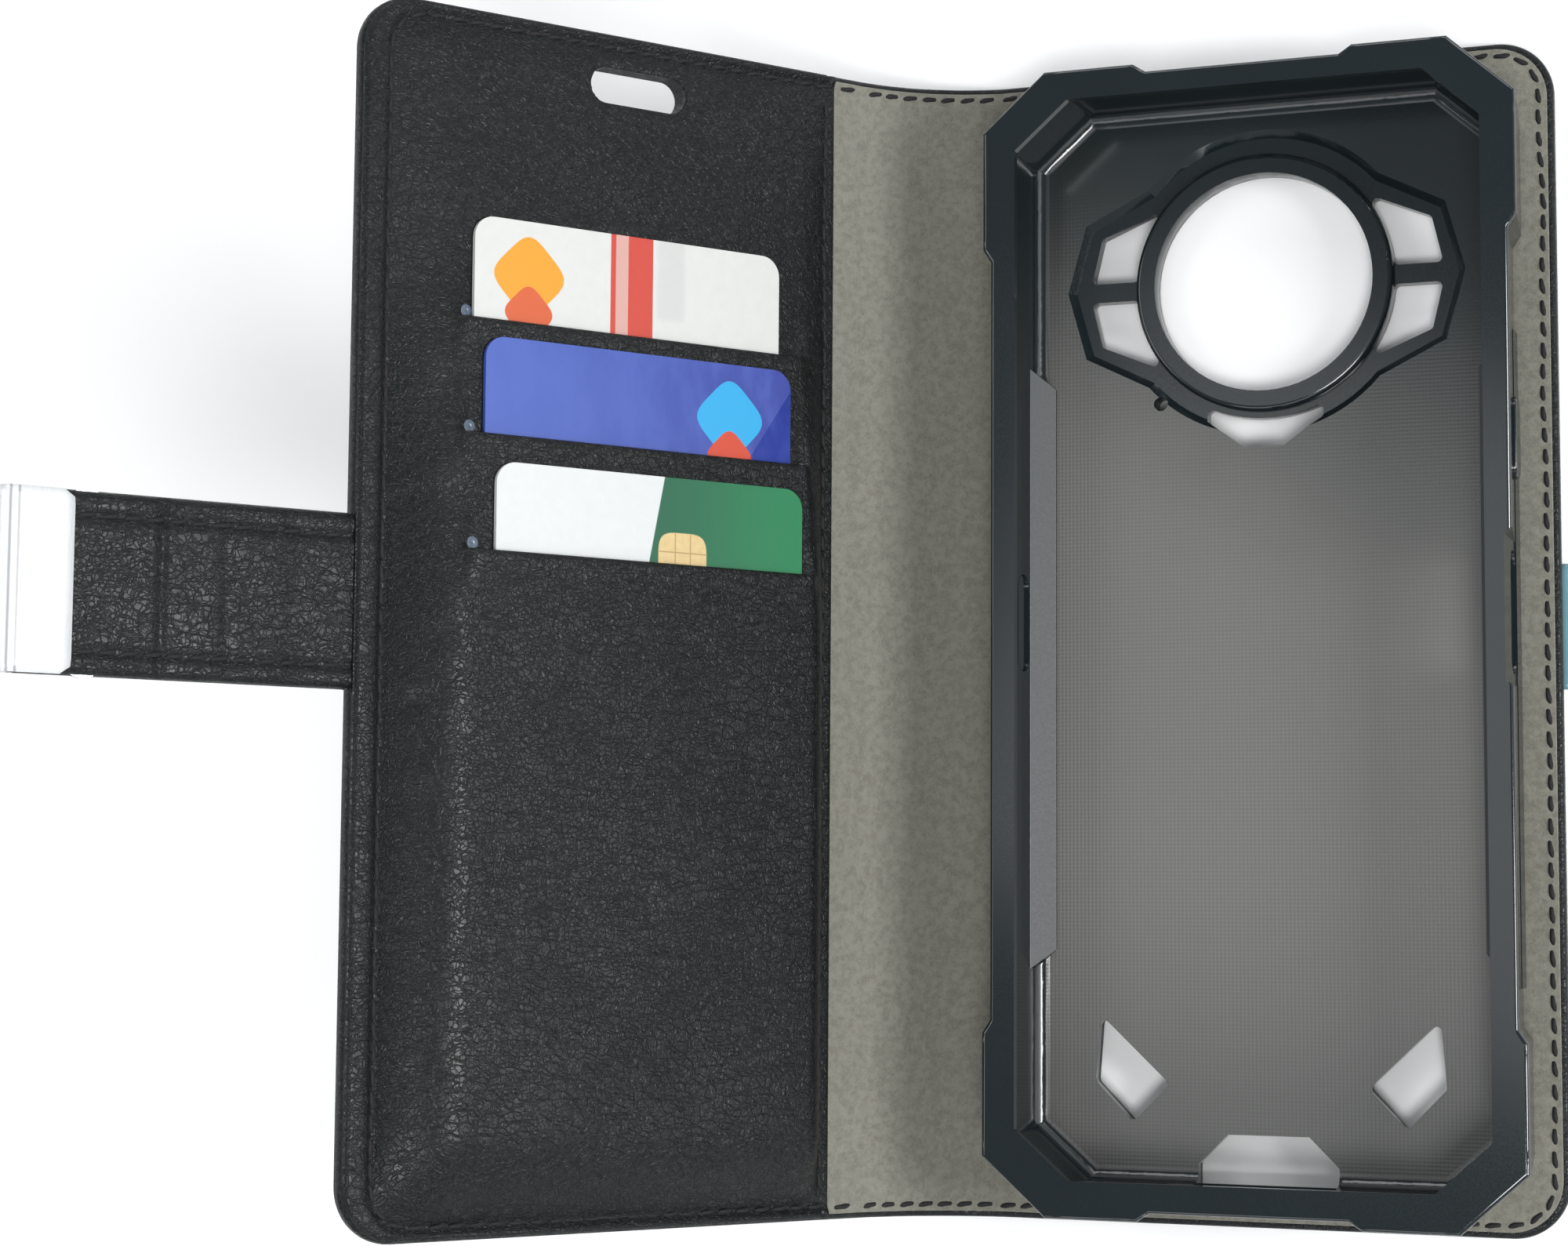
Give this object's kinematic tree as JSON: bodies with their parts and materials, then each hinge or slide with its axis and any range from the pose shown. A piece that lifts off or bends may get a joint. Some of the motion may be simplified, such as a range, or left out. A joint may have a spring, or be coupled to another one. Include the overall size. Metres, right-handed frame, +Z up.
{
  "type": "phone wallet case",
  "caption": "Folio phone wallet case with a moulded phone shell, hinged padded cover, card slots with cards and a magnetic closing strap.",
  "frame": {"origin": "on the table plane under the back cover, in the middle of the back cover's height and of the phone bay's width", "axes": "+Z up out of the phone bay, +Y towards the bay's camera end, +X towards the back cover's free edge; the spine and front cover rise on the -X side"},
  "size_m": [0.1928, 0.182, 0.13],
  "materials": {
    "black_leather": "pebbled, satin",
    "board": "matte",
    "steel": "satin",
    "suede": "brushed microfibre",
    "foam": "soft padding",
    "thread": "twisted thread",
    "shell": "glossy moulded",
    "adhesive": "matte",
    "teal_film": "satin film",
    "white_film": "satin film",
    "card_white_red": "printed",
    "card_violet": "printed",
    "card_green": "printed"
  },
  "bodies": {
    "back": {"back_outer_skin": "black_leather", "back_board": "board", "back_magnet_plate": "steel", "back_lining": "suede", "back_magnet_film": "teal_film", "back_seam_thread": "thread", "phone_shell": "shell", "shell_adhesive_pad": "adhesive"},
    "left_key": {"left_key_cover": "shell"},
    "right_key": {"right_key_cover": "shell"},
    "spine": {"spine_lining": "suede", "spine_stiffener": "board", "spine_outer_skin": "black_leather", "spine_seam_thread": "thread"},
    "front": {"front_outer_skin": "black_leather", "front_board": "board", "front_lining": "suede", "front_seam_thread": "thread", "strap_anchor_tail": "black_leather", "panel_backing": "suede", "card_panel": "black_leather", "pocket_divider_upper": "suede", "pocket_divider_lower": "suede", "panel_foam": "foam", "panel_edge_thread": "thread"},
    "card_upper": {"card_upper": "card_white_red"},
    "card_middle": {"card_middle": "card_violet"},
    "card_lower": {"card_lower": "card_green"},
    "strap_mid": {"strap_mid_outer_skin": "black_leather", "strap_mid_inner_skin": "black_leather", "strap_mid_stiffener": "board", "strap_mid_thread": "thread"},
    "strap_tip": {"strap_tip_outer_skin": "black_leather", "strap_tip_inner_skin": "black_leather", "strap_tip_stiffener": "board", "strap_tip_thread": "thread", "strap_tip_film": "white_film", "strap_magnets": "steel"}
  },
  "joints": [
    {"name": "left_key_press", "type": "slide", "parent": "back", "child": "left_key", "axis": [1, 0, 0], "range_m": [0, 0.0005], "stiffness_N_per_m": 800},
    {"name": "right_key_press", "type": "slide", "parent": "back", "child": "right_key", "axis": [-1, 0, 0], "range_m": [0, 0.0005], "stiffness_N_per_m": 800},
    {"name": "spine_hinge", "type": "hinge", "parent": "back", "child": "spine", "pos_m": [-0.043, 0, 0.0028], "axis": [0, 1, 0], "range_deg": [-31.2, 58.8]},
    {"name": "front_hinge", "type": "hinge", "parent": "spine", "child": "front", "pos_m": [-0.06344, 0, 0.01518], "axis": [0, 1, 0], "range_deg": [-23.5, 66.5]},
    {"name": "strap_root_hinge", "type": "hinge", "parent": "front", "child": "strap_mid", "pos_m": [-0.11524, 0.0008, 0.08817], "axis": [0, 1, 0], "range_deg": [-20, 90]},
    {"name": "strap_fold_hinge", "type": "hinge", "parent": "strap_mid", "child": "strap_tip", "pos_m": [-0.13108, 0.0008, 0.11053], "axis": [0, 1, 0], "range_deg": [-20, 90]},
    {"name": "card_upper_slide", "type": "slide", "parent": "front", "child": "card_upper", "axis": [0, 1, 0], "range_m": [0, 0.066]},
    {"name": "card_middle_slide", "type": "slide", "parent": "front", "child": "card_middle", "axis": [0, 1, 0], "range_m": [0, 0.066]},
    {"name": "card_lower_slide", "type": "slide", "parent": "front", "child": "card_lower", "axis": [0, 1, 0], "range_m": [0, 0.068]}
  ]
}
